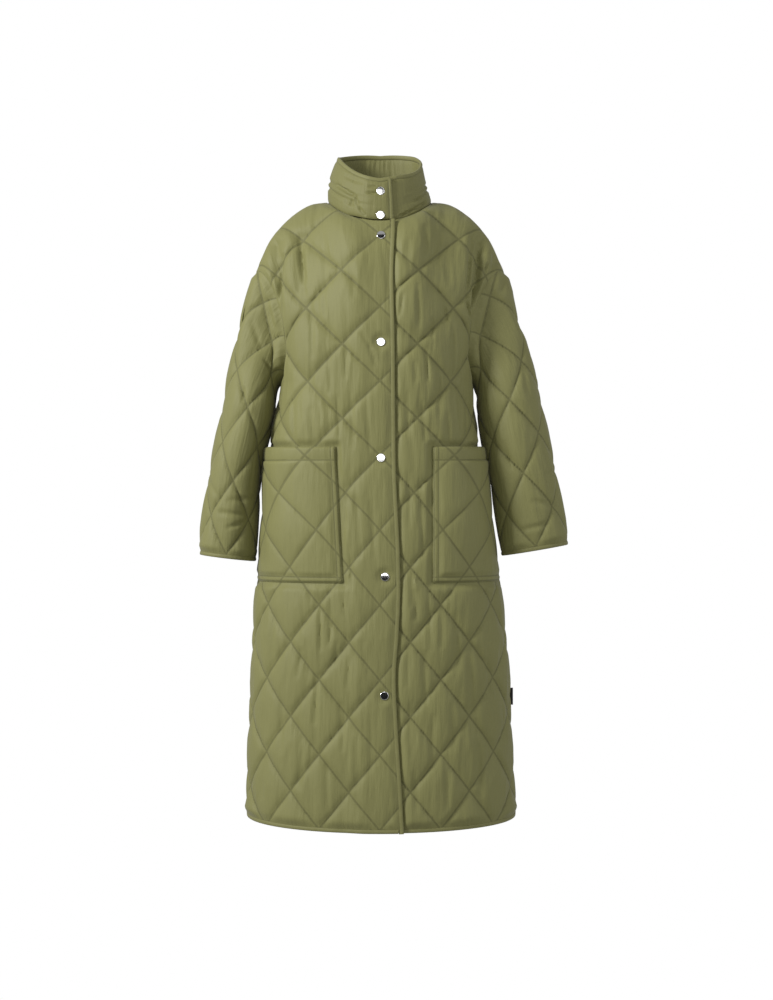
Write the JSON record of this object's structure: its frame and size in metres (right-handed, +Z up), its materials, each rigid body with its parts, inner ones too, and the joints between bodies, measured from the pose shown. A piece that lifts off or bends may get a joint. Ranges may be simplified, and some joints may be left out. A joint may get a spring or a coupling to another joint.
{
  "type": "quilted coat",
  "caption": "Midi-length quilted coat with a stand collar, snap front, patch pockets and side vents, filled out as if worn and open at the neck, cuffs and hem.",
  "frame": {"origin": "middle of the neck's base, level with the tops of the shoulder seams, where a wearer's shoulders carry the coat", "axes": "+Z up along the body, -Y towards the coat's front, +X towards the wearer's left"},
  "size_m": [0.6698, 0.3214, 1.2207],
  "materials": {
    "quilted_cloth": "matte woven shell with a faint sheen, quilted in diamonds",
    "binding_cloth": "matte folded strip of the same cloth",
    "snap_caps": "polished",
    "tab_cloth": "plain black tape"
  },
  "bodies": {
    "root": {"front_right": "quilted_cloth", "front_left": "quilted_cloth", "back": "quilted_cloth", "sleeve_right": "quilted_cloth", "sleeve_left": "quilted_cloth", "collar": "quilted_cloth", "pocket_right": "quilted_cloth", "pocket_left": "quilted_cloth", "binding_front_edge": "binding_cloth", "binding_collar": "binding_cloth", "binding_hem_right": "binding_cloth", "binding_hem_left": "binding_cloth", "binding_hem_back": "binding_cloth", "binding_cuff_right": "binding_cloth", "binding_cuff_left": "binding_cloth", "snap_1": "snap_caps", "snap_2": "snap_caps", "snap_3": "snap_caps", "snap_4": "snap_caps", "snap_5": "snap_caps", "snap_6": "snap_caps", "snap_7": "snap_caps", "side_tab": "tab_cloth"}
  },
  "joints": []
}
